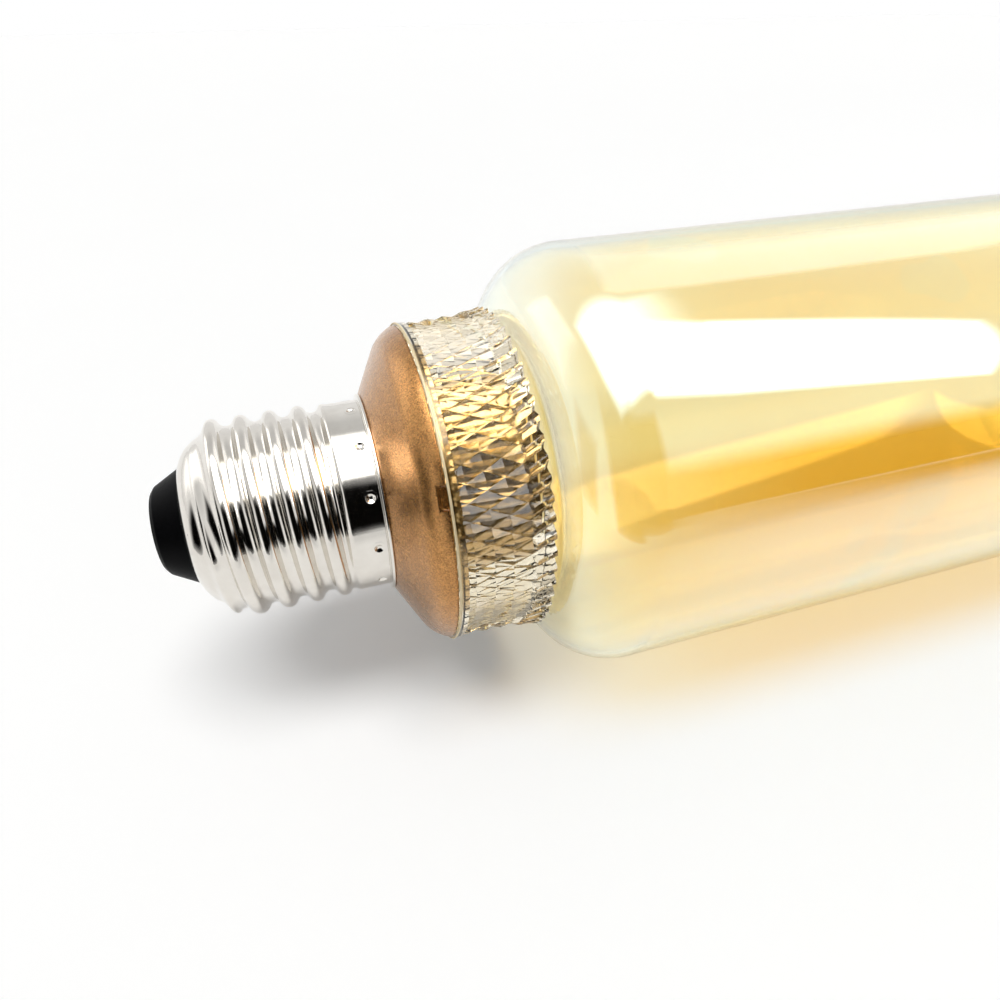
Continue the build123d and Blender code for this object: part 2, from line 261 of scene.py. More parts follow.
def make_dust():
    """A mask of small round specks, each in its own cell, and most cells empty."""
    tree, given, result = new_group(
        "dust", {"Spacing": 2.0, "Speck": 0.06, "Share": 0.3}, {"Dust": "NodeSocketFloat"}
    )
    place = millimetres(tree, given.outputs["Spacing"])
    cells = add_node(tree, "ShaderNodeTexVoronoi", {"Vector": place, "Scale": 1.0})
    near = reckon(tree, "LESS_THAN", cells.outputs["Distance"], given.outputs["Speck"])
    chance = add_node(tree, "ShaderNodeSeparateColor", {"Color": cells.outputs["Color"]})
    kept = reckon(tree, "LESS_THAN", chance.outputs["Red"], given.outputs["Share"])
    tree.links.new(reckon(tree, "MULTIPLY", near, kept), result.inputs["Dust"])
    return tree


grain, draw_lines, dust = make_grain(), make_draw_lines(), make_dust()
print("shared effects:", [group.name for group in bpy.data.node_groups])


# %% [markdown]
# ## A material's skeleton
# Every finish here starts from the same shader, with its constant values set on the shader's own sockets.
# What changes over the surface comes from the shared effects: a patchy colour, a roughness that wanders
# between two values, and a small bump.

# %% material helpers
noise_low, noise_high = 0.3, 0.7


def new_finish(name, **constants):
    """A material with one principled shader, whose constant sockets are given by name."""
    material = bpy.data.materials.new(name)
    material.use_nodes = True
    tree = material.node_tree
    shader = tree.nodes["Principled BSDF"]
    for title, value in constants.items():
        shader.inputs[title.replace("_", " ")].default_value = value
    return material, tree, shader


def place_effect(tree, group, **inputs):
    """A shared effect, placed in a material with its own values."""
    node = add_node(tree, "ShaderNodeGroup", node_tree=group)
    for title, value in inputs.items():
        node.inputs[title].default_value = value
    return node.outputs[0]


def spread(tree, value, low, high):
    """A value from the range where noise mostly lies, spread to low and high."""
    node = add_node(
        tree, "ShaderNodeMapRange",
        {"Value": value, "From Min": noise_low, "From Max": noise_high, "To Min": low, "To Max": high},
    )
    return node.outputs["Result"]


def two_colours(tree, mask, low, high):
    """A colour between low and high, by a mask."""
    node = add_node(tree, "ShaderNodeMix", data_type="RGBA")
    tree.links.new(mask, node.inputs["Factor"])
    for socket, colour in ((node.inputs[6], low), (node.inputs[7], high)):
        if isinstance(colour, bpy.types.NodeSocket):
            tree.links.new(colour, socket)
        else:
            socket.default_value = (*colour, 1)
    return node.outputs[2]


def bump(tree, shader, height, depth, strength=1.0):
    """A bump of some depth in millimetres, fed to the shader's normal."""
    node = add_node(
        tree, "ShaderNodeBump", {"Height": height, "Distance": depth * MM, "Strength": strength}
    )
    tree.links.new(node.outputs["Normal"], shader.inputs["Normal"])


def show_surface(tree, surface):
    """Let another shader than the plain one be the material's surface."""
    tree.links.new(surface.outputs[0], tree.nodes["Material Output"].inputs["Surface"])


def clear_for_light(tree, surface, tint):
    """A see-through surface whose shadow is only a tint: rays that ask about light go straight through."""
    path = add_node(tree, "ShaderNodeLightPath")
    clear = add_node(tree, "ShaderNodeBsdfTransparent", {"Color": tint})
    either = add_node(
        tree, "ShaderNodeMixShader",
        {0: path.outputs["Is Shadow Ray"], 1: surface.outputs[0], 2: clear.outputs[0]},
    )
    show_surface(tree, either)


def plain_finish(name, low, high, rough, size, depth=0.0, **constants):
    """A finish with a patchy colour, a wandering roughness and, if asked, a bump of the same grain."""
    material, tree, shader = new_finish(name, **constants)
    patches = place_effect(tree, grain, Size=size)
    tree.links.new(two_colours(tree, spread(tree, patches, 0, 1), low, high), shader.inputs["Base Color"])
    tree.links.new(spread(tree, patches, *rough), shader.inputs["Roughness"])
    if depth:
        bump(tree, shader, patches, depth)
    return material


print("noise from", noise_low, "to", noise_high, "is spread over each finish")

# %% [markdown]
# ## Bright nickel
# The shell's thin brass is plated with nickel, a slightly warm mirror. Drawing leaves fine lines round it,
# and handling leaves dull patches and a few specks. A picture of metal could be wrapped round the shell, but
# lines and patches made from noise have no seam, and they follow the axis by themselves.

# %% nickel
nickel_dull, nickel_bright = (0.72, 0.685, 0.63), (0.80, 0.77, 0.715)
nickel_speck = (0.30, 0.27, 0.24)


def make_nickel():
    """A warm mirror with faint lines round the axis, patches and specks."""
    material, tree, shader = new_finish("bright_nickel", Metallic=1.0)
    lines = place_effect(tree, draw_lines, Size=0.3, Length=60.0)
    patches = place_effect(tree, grain, Size=3.0)
    specks = place_effect(tree, dust, Spacing=1.6, Speck=0.05, Share=0.25)
    clean = two_colours(tree, spread(tree, patches, 0, 1), nickel_dull, nickel_bright)
    tree.links.new(two_colours(tree, specks, clean, nickel_speck), shader.inputs["Base Color"])
    tree.links.new(spread(tree, lines, 0.05, 0.12), shader.inputs["Roughness"])
    bump(tree, shader, lines, 0.0005)
    return material


nickel = make_nickel()
print(nickel.name, "has", len(nickel.node_tree.nodes), "nodes")

# %% [markdown]
# ## The thread as a formula
# The shell is rolled to shape, so its thread is a soft wave and no cut groove: crests and roots are rounded
# alike. A sweep along a helix would work. Here the radius is a formula of the station and the angle, because
# a formula can fade: the wave climbs one pitch per turn, starts from a round shoulder and runs out into a
# plain collar. Punch marks in the collar lock the shell to what is inside it.

# %% thread formula
thread_pitch = 3.629
thread_crest = 13.15
thread_root = 12.0
first_crest = 5.24
shoulder_start = 6.6
shoulder_radius = 11.35
shoulder_length = 4.57
collar_radius = 12.81
x_root, x_root_full = x_shell + 2.6, x_shell + 4.8
x_wave, x_wave_full = x_shell + 2.2, x_shell + 3.9
x_run_out = x_shell + 18.1
x_collar = x_shell + 19.7
lip_thickness = 0.5
x_lip = x_seat - lip_thickness
dimple_count = 12
dimple_angle = 29.0
dimple_radius = 0.62
dimple_depth = 0.28
dimple_from_lip = 1.2
burr_height, burr_place, burr_width = 0.05, 1.15, 0.16


def smooth_step(low, high, value):
    """From 0 at low to 1 at high, with a soft start and a soft end."""
    t = np.clip((value - low) / (high - low), 0, 1)
    return t * t * (3 - 2 * t)


def thread_wave(x, angle):
    """From 0 at the thread's roots to 1 at its crests, along two arcs that meet halfway up the flank."""
    depth = thread_crest - thread_root
    turns = (x - x_shell - first_crest) / thread_pitch - (angle - pi / 2) / (2 * pi)
    aside = np.abs((turns + 0.5) % 1 - 0.5) * thread_pitch
    arc_radius = ((thread_pitch / 4) ** 2 + (depth / 2) ** 2) / depth
    from_crest = np.minimum(aside, thread_pitch / 4)
    from_root = np.minimum(thread_pitch / 2 - aside, thread_pitch / 4)
    drop = arc_radius - np.sqrt(arc_radius**2 - from_crest**2)
    rise = arc_radius - np.sqrt(arc_radius**2 - from_root**2)
    return np.where(aside < thread_pitch / 4, 1 - drop / depth, rise / depth)


def punch_marks(x, angle):
    """How far the punch marks press the collar in, with the small burr that a punch raises."""
    pressed = np.zeros_like(x)
    x_marks = x_lip - dimple_from_lip
    for k in range(dimple_count):
        centre = radians(dimple_angle + 360 * k / dimple_count)
        aside = ((angle - centre + pi) % (2 * pi) - pi) * collar_radius
        away = np.hypot(x - x_marks, aside) / dimple_radius
        pressed += dimple_depth * np.clip(1 - away**2, 0, 1) ** 1.2
        pressed -= burr_height * np.exp(-(((away - burr_place) / burr_width) ** 2))
    return pressed


def shell_radius(x, angle):
    """The shell's outer radius: a round shoulder, the thread, the collar and its punch marks."""
    left = np.clip(1 - (x - x_shell) / shoulder_length, 0, 1)
    base = shoulder_start + (shoulder_radius - shoulder_start) * np.sqrt(1 - left**2)
    run_out = smooth_step(x_run_out, x_collar, x)
    base = base + (thread_root - shoulder_radius) * smooth_step(x_root, x_root_full, x)
    base = base + (collar_radius - thread_root) * run_out
    height = (thread_crest - thread_root) * smooth_step(x_wave, x_wave_full, x) * (1 - run_out)
    return base + height * thread_wave(x, angle) - punch_marks(x, angle)


print("the thread makes about", round((x_run_out - x_wave) / thread_pitch, 1), "turns")

# %% [markdown]
# ## The screw shell
# The shell is the lamp's second contact and carries its weight in the holder. Rings of points at many
# stations carry the formula. They lie closer together at the round shoulder and at the punch marks, where
# the surface bends most. The lip and the bore are a plain outline that closes the skin, so that the shell
# has a real wall and real edges to catch the light.

# %% build the shell
shell_wall = 0.5
shell_mouth = 7.85
x_shell_mouth = x_shell + 0.17
mouth_edge = 0.3
bore_slack = 0.3
shoulder_rows = shoulder_length - 0.4
shoulder_crowding = 1.6
x_thread_rows = x_shell + 4.35
x_mark_rows = x_collar + 1.4
x_mark_rows_end = x_lip - 0.1
shoulder_count, thread_count, mark_count = 30, 112, 24
x_inner_shoulder, inner_shoulder = x_shell + 4.6, 10.9
x_inner_knee, inner_knee = x_shell + 1.7, 9.2


def make_shell():
    """The shell's outer skin from the formula, closed by the lip, the bore and the mouth."""
    around = 360
    up_the_shoulder = np.linspace(0, 1, shoulder_count, endpoint=False) ** shoulder_crowding
    x_outer = np.concatenate([
        x_shell_mouth + shoulder_rows * up_the_shoulder,
        np.linspace(x_thread_rows, x_mark_rows, thread_count, endpoint=False),
        np.linspace(x_mark_rows, x_mark_rows_end, mark_count),
    ])
    angle = np.linspace(0, 2 * pi, around, endpoint=False)
    grid_x, grid_angle = np.meshgrid(x_outer, angle, indexing="ij")
    outer = turned_points(grid_x, shell_radius(grid_x, grid_angle), grid_angle)
    bore, collar_bore = thread_root - shell_wall - bore_slack, collar_radius - shell_wall
    rest = np.array(rounded([
        (x_lip, collar_radius, 0.1), (x_lip, lip_radius, 0.24), (x_seat, lip_radius, 0.24),
        (x_seat, collar_bore, 0.1), (x_collar, collar_bore, 0), (x_collar, bore, 0),
        (x_inner_shoulder, inner_shoulder, 0), (x_inner_knee, inner_knee, 0),
        (x_shell_mouth, shell_mouth - mouth_edge, 0.1), (x_shell_mouth, shell_mouth, 0),
    ])[:-1])
    grid_rest = np.repeat(rest[:, None, :], around, axis=1)
    rest_angle = np.broadcast_to(angle, grid_rest.shape[:2])
    inner = turned_points(grid_rest[..., 0], grid_rest[..., 1], rest_angle)
    points = np.concatenate([outer, inner])
    faces = ring_faces(len(x_outer) + len(rest), around)
    return mesh_piece("threaded_shell", points, faces, nickel, smooth_angle=50)


shell = make_shell()
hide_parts("screw_shell")

# %% [markdown]
# ## Black moulding and tinned brass
# The cone at the cap's end is moulded in a black material with a fine tooth, which hardly mirrors anything.
# The contact is brass under a skin of tin, grey and a little uneven. Both are the plain finish with other
# values, so neither needs a network of its own.

# %% black moulding and tin
black_moulding = plain_finish(
    "satin_black", (0.001, 0.001, 0.0012), (0.002, 0.002, 0.0025), (0.34, 0.46), 0.35, depth=0.004,
    Specular_IOR_Level=0.03,
)
tinned = plain_finish(
    "tinned_brass", (0.62, 0.58, 0.48), (0.72, 0.70, 0.64), (0.24, 0.42), 0.5, depth=0.02, Metallic=1.0
)
print("finishes for the cap's end:", black_moulding.name, "and", tinned.name)

# %% [markdown]
# ## The insulator and the centre contact
# A black moulded cone closes the shell's end and carries the centre contact, a tinned eyelet with a flat
# dome of solder over its hole. Both are plain turned outlines; the soft corners are what makes the cone look
# moulded, because they catch the light.

# %% build the insulator and the contact
contact_radius = 3.4
contact_recess = 0.8
stem_radius, stem_bore, x_stem = 1.7, 0.8, 4.2
stem_hole = stem_radius + fit_gap
recess_radius = contact_radius + fit_gap
plug_radius = 7.45
nose_radius = 5.2
nose_edge_x, nose_edge_radius = x_insulator + 0.5, 5.85
solder_top, solder_edge = (0, 1.3, 0), (0.12, 2.0, 0.6)
eyelet_x = 0.16

insulator = turned("insulator_cone", rounded([
    (contact_recess, stem_hole, 0), (contact_recess, recess_radius, 0), (x_insulator, recess_radius, 0.1),
    (x_insulator, nose_radius, 0.2), (nose_edge_x, nose_edge_radius, 0.5),
    (x_shell_mouth, insulator_base, 0), (x_shell_mouth, plug_radius, 0),
    (x_plug, plug_radius, 0.2), (x_plug, stem_hole, 0),
]), black_moulding)
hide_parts("insulator")
contact = turned("solder_contact", rounded([
    (0, near_axis, 0), solder_top, solder_edge, (eyelet_x, contact_radius, 0.15),
    (contact_recess, contact_radius, 0.1), (contact_recess, stem_radius, 0), (x_stem, stem_radius, 0.2),
    (x_stem, stem_bore, 0), (contact_recess, stem_bore, 0), (contact_recess, near_axis, 0),
]), tinned, around=96)
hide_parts("centre_contact")

# %% [markdown]
# ## Flake paint
# The skirt is sprayed with a paint full of metal flakes, so from close by it sparkles and from further away
# it shades softly from pale gold to deep brown. Modelling the flakes would take millions of them. Here each
# flake is a cell of a pattern, with its own tone and its own height, under a thin clear coat.

# %% flake paint
flakes_per_metre = 9000.0
bronze_deep, bronze_pale = (0.42, 0.195, 0.055), (0.49, 0.24, 0.072)


def make_bronze():
    """Bronze paint: cloudy patches, and flakes that change both the tone and the bump."""
    material, tree, shader = new_finish(
        "bronze_flake_paint", Metallic=0.95, Coat_Weight=0.5, Coat_Roughness=0.25, Coat_IOR=1.45
    )
    place = add_node(tree, "ShaderNodeTexCoord")
    cells = add_node(
        tree, "ShaderNodeTexVoronoi", {"Vector": place.outputs["Object"], "Scale": flakes_per_metre}
    )
    sparkle = add_node(tree, "ShaderNodeSeparateColor", {"Color": cells.outputs["Color"]})
    patches = place_effect(tree, grain, Size=1.4, Detail=6.0)
    cloudy = two_colours(tree, spread(tree, patches, 0, 1), bronze_deep, bronze_pale)
    tone = add_node(
        tree, "ShaderNodeMapRange", {"Value": sparkle.outputs["Red"], "To Min": 0.6, "To Max": 1.4}
    )
    colour = add_node(
        tree, "ShaderNodeVectorMath", {"Vector": cloudy, "Scale": tone.outputs["Result"]}, operation="SCALE"
    )
    tree.links.new(colour.outputs[0], shader.inputs["Base Color"])
    tree.links.new(spread(tree, patches, 0.24, 0.30), shader.inputs["Roughness"])
    bump(tree, shader, sparkle.outputs["Green"], 0.03, 0.22)
    return material


bronze = make_bronze()
print("a flake is about", round(1 / (flakes_per_metre * MM), 2), "mm wide")

# %% [markdown]
# ## The bronze skirt
# The skirt is a small bell that hides the driver, with a spigot in the shell and a mouth for the ring. It is
# turned from one outline, whose flare is a single arc. A notch in its rim takes the ring's tab. That is cut
# out with a box afterwards, because it is the one feature that doesn't go all the way round.

# %% build the skirt
skirt_seat_radius = lip_radius - 0.05
skirt_cone_x = x_seat + 2.9
skirt_cone_radius = skirt_rim - 2.7
skirt_mouth = skirt_rim - 1.55
spigot_wall = 1.2
pocket_step, ledge_width = 1.6, 1.65
x_cavity = x_seat + 0.6
tab_angle = radians(151.5)
tab_width, tab_length, tab_gap = 2.7, 1.05, 0.12
notch_depth, notch_height, notch_overcut = 0.55, 4.0, 0.05


def bell_arc(steps=16):
    """The bell's flare: an arc that leaves the cone smoothly and ends at the rim."""
    start, end = Vector((skirt_cone_x, skirt_cone_radius)), Vector((x_ring, skirt_rim))
    along = (start - Vector((x_seat, skirt_seat_radius))).normalized()
    across = Vector((along.y, -along.x))
    chord = end - start
    middle = start + across * (chord.length_squared / (2 * chord.dot(across)))
    return arc(middle, start, end, steps)


def notch_cutter():
    """A box at the rim, at the tab's angle and with the tab's clearance."""
    length, width = tab_length + tab_gap, tab_width + 2 * tab_gap
    x_middle, radius = x_ring - length / 2 + notch_overcut, skirt_rim - notch_depth + notch_height / 2
    bpy.ops.mesh.primitive_cube_add(size=1)
    cutter = bpy.context.object
    turn = Matrix.Rotation(tab_angle, 4, "X")
    place = Matrix.Translation(Vector((x_middle, radius, 0)) * MM)
    size = Vector((length, notch_height, width)) * MM
    cutter.matrix_world = turn @ place @ Matrix.Diagonal((*size, 1))
    return cutter


def cut_notch(body):
    """Cut the notch out of the skirt, and keep the cut mesh as its own."""
    cutter = notch_cutter()
    cut = body.modifiers.new("notch", "BOOLEAN")
    cut.object, cut.operation, cut.solver = cutter, "DIFFERENCE", "EXACT"
    bpy.context.view_layer.update()
    seen_now = bpy.context.evaluated_depsgraph_get()
    cut_mesh = bpy.data.meshes.new_from_object(body.evaluated_get(seen_now))
    body.modifiers.clear()
    body.data = cut_mesh
    cut_mesh.shade_smooth()
    cut_mesh.set_sharp_from_angle(angle=radians(40))
    bpy.data.objects.remove(cutter)


def make_skirt():
    """The bell with its mouth, the pocket for the plate, the driver's cavity and the spigot."""
    spigot = thread_root - shell_wall - fit_gap
    spigot_bore = spigot - spigot_wall
    collar_spigot = collar_radius - shell_wall - fit_gap
    pocket = skirt_mouth - pocket_step
    x_mouth = x_ring_spigot - fit_gap
    inside = rounded([
        (x_ring, skirt_rim, 0.12), (x_ring, skirt_mouth, 0.1), (x_mouth, skirt_mouth, 0),
        (x_mouth, pocket, 0.1), (x_plate, pocket, 0), (x_plate, pocket - ledge_width, 0),
        (x_cavity, spigot_bore, 0), (x_spigot, spigot_bore, 0), (x_spigot, spigot, 0),
        (x_collar, spigot, 0), (x_collar, collar_spigot, 0), (x_seat, collar_spigot, 0),
        (x_seat, skirt_seat_radius, 0.35), (skirt_cone_x, skirt_cone_radius, 0),
    ])[:-1]
    body = turned("bronze_skirt", bell_arc()[:-1] + inside, bronze, around=240)
    cut_notch(body)
    return body


skirt = make_skirt()
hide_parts("skirt")

# %% [markdown]
# ## Clear plastic
# The ring is moulded in a clear plastic with a warm tint. Following every beam that it gathers would take
# very long to render and stay noisy. So rays that only ask about light go straight through the ring and take
# a tint with them, while the eye still sees it bend and mirror.

# %% clear moulding
crystal_warm, crystal_pale = (0.92, 0.82, 0.61), (0.955, 0.88, 0.72)
crystal_shadow = (0.95, 0.86, 0.70, 1)


def make_crystal():
    """Clear plastic with a faintly patchy tint, and a tinted shadow."""
    material, tree, shader = new_finish(
        "clear_moulding", Transmission_Weight=1.0, IOR=1.49, Specular_IOR_Level=1.0
    )
    patches = place_effect(tree, grain, Size=2.5)
    tint = two_colours(tree, spread(tree, patches, 0, 1), crystal_warm, crystal_pale)
    tree.links.new(tint, shader.inputs["Base Color"])
    tree.links.new(spread(tree, patches, 0.01, 0.05), shader.inputs["Roughness"])
    clear_for_light(tree, shader, crystal_shadow)
    return material


crystal = make_crystal()
print(crystal.name, "has", len(crystal.node_tree.nodes), "nodes")

# %% [markdown]
# ## Diamonds as a formula
# The ring is covered in diamonds, like pressed glass. Two families of V grooves cross, and what they leave
# between them are small four-sided points. One family runs out through the far edge and leaves a row of
# slanted teeth, whose tips flare a little. Cutting the grooves one by one would be slow and would leave
# slivers, so the radius is a formula again.

# %% facet formula
facet_count = 60
facet_angle = radians(148.6)
facet_start = 2.2
facet_column = 2.35
facet_columns = 3
facet_depth = 0.86
facet_reach = 0.62
brick_reach = 0.36
ring_left_radius = skirt_rim + 0.2
tooth_flare = 0.25
x_tooth_flare = x_ring_end - 1.6
x_tooth_end = x_ring_end + 0.3


def groove(turns, reach):
    """The depth of a V groove at each whole turn, whose sides end at reach on either side."""
    away = np.abs(turns - np.round(turns))
    return facet_depth * np.clip(1 - away / reach, 0, 1)


def facet_radius(x, angle):
    """The ring's outer radius: both families of grooves, then bricks between the teeth, which flare out."""
    column = (x - x_ring - facet_start) / facet_column
    pitch = (angle - facet_angle) * facet_count / (2 * pi)
    tooth = groove(pitch + column / 2, np.where(column > facet_columns, brick_reach, facet_reach))
    cross = np.where(column > facet_columns, 0, groove(pitch - column / 2, facet_reach))
    slope = (ring_edge_radius - skin_clearance - ring_left_radius) / (x_ring_end - x_ring)
    ridge = np.clip(1 - tooth / facet_depth, 0, 1)
    flare = tooth_flare * smooth_step(x_tooth_flare, x_tooth_end, x) * ridge**4
    return ring_left_radius + slope * (x - x_ring) + flare - np.maximum(tooth, cross)


print("a diamond is", round(2 * pi * ring_left_radius / facet_count, 2), "mm wide")

# %% [markdown]
# ## The crystal ring
# The ring hides the joint between skirt and glass and scatters the light there. The formula lies on a grid
# whose diagonals run along both families of grooves. Each cell is split along the diagonal that comes nearer
# to the formula, so that ridges and valleys stay crisp lines. At one place the plain edge reaches back as a
# tab, which sits in the skirt's notch.

# %% build the ring
facet_lead = 1.0
facet_steps = 6
ring_chamfer = 0.3
ring_spigot_radius = skirt_mouth - fit_gap
ring_inner = ring_spigot_radius - 1.2
ring_face_gap = 0.01
ring_face_reach = 0.04
last_row_slack = 0.01
tooth_root = ring_edge_radius - 1.6
edge_bulge_x, edge_bulge = 0.12, 0.22


def facet_faces(row_x, angle, radius):
    """Two triangles per quad, split along the diagonal that follows a groove or a ridge."""
    rows, around = radius.shape
    half_x, half_angle = (row_x[1] - row_x[0]) / 2, (angle[1] - angle[0]) / 2
    middle = facet_radius(row_x[:-1, None] + half_x, angle[None, :] + half_angle)
    turned_on = np.roll(radius, -1, axis=1)
    rising = np.abs((radius[:-1] + turned_on[1:]) / 2 - middle)
    falling = np.abs((radius[1:] + turned_on[:-1]) / 2 - middle)
    faces = []
    for (row, k), falls in np.ndenumerate(falling < rising):
        here, there = row * around + k, row * around + (k + 1) % around
        corners = here, here + around, there + around, there
        for split in ((0, 1, 3), (1, 2, 3)) if falls else ((0, 1, 2), (0, 2, 3)):
            faces.append(tuple(corners[c] for c in split))
    return faces


def make_ring():
    """The faceted skin, closed by the end face, the bore, the spigot and the edge with its tab."""
    around = 2 * facet_count * facet_steps
    step = facet_column / facet_steps
    first = x_ring + facet_start - np.floor(facet_lead / step) * step
    row_x = np.arange(first, x_tooth_end + last_row_slack, step)
    angle = facet_angle + np.linspace(0, 2 * pi, around, endpoint=False)
    grid_x, grid_angle = np.meshgrid(row_x, angle, indexing="ij")
    radius = facet_radius(grid_x, grid_angle)
    x_face, edge = x_ring + ring_face_gap, ring_left_radius - ring_chamfer
    rest = np.array(rounded([
        (x_ring_end, tooth_root, 0), (x_ring_end, ring_inner, 0.2), (x_ring_spigot, ring_inner, 0),
        (x_ring_spigot, ring_spigot_radius, 0), (x_face, ring_spigot_radius, 0), (x_face, edge, 0),
        (x_ring + edge_bulge_x, edge + edge_bulge, 0), (x_ring + ring_chamfer, ring_left_radius, 0),
        (first - step / 2, ring_left_radius, 0),
    ]))
    rest_angle = np.broadcast_to(angle, (len(rest), around))
    rest_x = np.repeat(rest[:, :1], around, 1)
    in_tab = np.abs((rest_angle - tab_angle + pi) % (2 * pi) - pi) * skirt_rim < tab_width / 2
    over_spigot = rest[:, 1:] > ring_spigot_radius + ring_face_gap
    on_face = over_spigot & (rest[:, :1] < x_face + ring_face_reach)
    rest_x = np.where(in_tab & on_face, rest_x - tab_length, rest_x)
    points = np.concatenate([
        turned_points(grid_x, radius, grid_angle),
        turned_points(rest_x, np.repeat(rest[:, 1:], around, 1), rest_angle),
    ])
    plain = ring_faces(len(row_x) + len(rest), around)[(len(row_x) - 1) * around:]
    faces = facet_faces(row_x, angle, radius) + plain
    return mesh_piece("diamond_ring", points, faces, crystal, smooth_angle=12)


ring = make_ring()
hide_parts("crystal_ring")

# %% [markdown]
# ## What colours the ring
# Clear plastic alone would be pale all round. A thin bronze film on the ring's bore gives it a brown depth,
# a washer of the same bronze closes the joint to the skirt, and a frosted bead draws a pale line along the
# edge. A tint in the plastic could give one colour only. Surfaces behind it shift with the facets, as the
# eye expects it of cut glass.

# %% lining, washer and bead
ring_lining = plain_finish(
    "bronze_lining", (0.60, 0.45, 0.24), (0.70, 0.55, 0.32), (0.16, 0.24), 1.5, depth=0.006, Metallic=1.0
)
frosted = plain_finish(
    "frosted_edge", (0.74, 0.60, 0.36), (0.82, 0.69, 0.45), (0.35, 0.5), 0.8, depth=0.006, Metallic=0.3
)
film_radius = ring_inner - 0.01
film_thickness = 0.03
x_film, x_film_end = x_ring_spigot + 0.1, x_ring_end - 0.3
x_washer, x_washer_end = x_ring - 0.02, x_ring + 0.005
washer_radius = skirt_rim - 0.15
bead = 0.16
bead_x, bead_radius = x_ring + bead + 0.02, ring_left_radius - 0.06


def band(x_from, x_to, inner, outer):
    """The outline of a plain band about the axis."""
    return [(x_from, inner), (x_from, outer), (x_to, outer), (x_to, inner)]


film_outline = band(x_film, x_film_end, film_radius - film_thickness, film_radius)
turned("ring_lining", film_outline, ring_lining, around=192)
washer_outline = band(x_washer, x_washer_end, skirt_mouth, washer_radius)
turned("ring_washer", washer_outline, ring_lining, around=192)
turned("ring_bead", [
    (bead_x + bead * np.cos(turn), bead_radius + bead * np.sin(turn))
    for turn in np.linspace(0, 2 * pi, 12, endpoint=False)
], frosted, around=240)

# %% [markdown]
# ## Lustre glass
# The glass is coated with an amber lustre on its outer skin: the coat lets amber through and throws part of
# the blue and green back. It thins out towards the neck, where the glass is nearly clear. Tinted glass alone
# would lack the cool mirror, so a second, coloured reflection is added to the glass, on the outer skin and
# from outside. Two values stored on the mesh tell the material where the skin and the coat are.

# %% lustre glass
amber_deep, amber_pale = (0.95, 0.755, 0.285), (0.965, 0.79, 0.33)
bare_glass = (0.985, 0.975, 0.915)
glass_rim = (0.78, 0.64, 0.50)
glass_speck = (0.45, 0.33, 0.20)
lustre_colour = (0.07, 0.24, 0.32)
thinnest_lustre = 0.45
bare_shadow, amber_shadow = (1.0, 0.975, 0.91), (1.0, 0.88, 0.60)


def make_amber():
    """Amber glass: a tint by the coat's depth, a darker rim, specks, and the lustre's own mirror."""
    material, tree, shader = new_finish("amber_lustre_glass", Transmission_Weight=1.0, IOR=1.5)
    patches = place_effect(tree, grain, Size=26.0, Detail=2.0)
    specks = place_effect(tree, dust, Spacing=3.4, Speck=0.012, Share=0.3)
    full = two_colours(tree, spread(tree, patches, 0, 1), amber_deep, amber_pale)
    coat = add_node(tree, "ShaderNodeAttribute", attribute_name="coat").outputs["Fac"]
    tint = two_colours(tree, coat, bare_glass, full)
    rim = add_node(tree, "ShaderNodeLayerWeight", {"Blend": 0.4})
    edge = add_node(
        tree, "ShaderNodeMapRange", {"Value": rim.outputs["Facing"], "From Min": 0.6, "From Max": 0.95},
        interpolation_type="SMOOTHSTEP",
    ).outputs["Result"]
    tint = two_colours(tree, edge, tint, glass_rim)
    tree.links.new(two_colours(tree, specks, tint, glass_speck), shader.inputs["Base Color"])
    tree.links.new(spread(tree, patches, 0.0, 0.03), shader.inputs["Roughness"])
    skin = add_node(tree, "ShaderNodeAttribute", attribute_name="outer_skin").outputs["Fac"]
    backfacing = add_node(tree, "ShaderNodeNewGeometry").outputs["Backfacing"]
    outside = reckon(tree, "SUBTRACT", skin, backfacing, use_clamp=True)
    off_rim = reckon(tree, "SUBTRACT", outside, edge, use_clamp=True)
    depth = add_node(tree, "ShaderNodeMapRange", {"Value": coat, "To Min": thinnest_lustre, "To Max": 1.0})
    mirrored = reckon(tree, "MULTIPLY", off_rim, depth.outputs["Result"])
    lustre = two_colours(tree, mirrored, (0, 0, 0), lustre_colour)
    sheen = add_node(tree, "ShaderNodeBsdfAnisotropic", {"Color": lustre, "Roughness": 0.03})
    lustrous = add_node(tree, "ShaderNodeAddShader", {0: shader.outputs[0], 1: sheen.outputs[0]})
    clear_for_light(tree, lustrous, two_colours(tree, coat, bare_shadow, amber_shadow))
    return material


amber = make_amber()
print(amber.name, "has", len(amber.node_tree.nodes), "nodes")

# %% [markdown]
# ## The glass envelope
# The envelope is blown in one piece: neck, shoulder, tube and closed end. A solid body would look like a
# glass rod, so it has a real wall here, with an outer and an inner skin. Light bends at both, and that is
# what makes thin glass look thin.

# %% build the envelope
glass_wall = 0.9
neck_radius = ring_inner - 0.6
neck_round = 2.15
shoulder_middle = neck_radius + neck_round
corner_radius = tube_radius - shoulder_middle
x_glass = x_ring_end + 1.3
x_bare, x_coated = x_glass - 2, x_glass + 33
thinnest_coat = 0.03


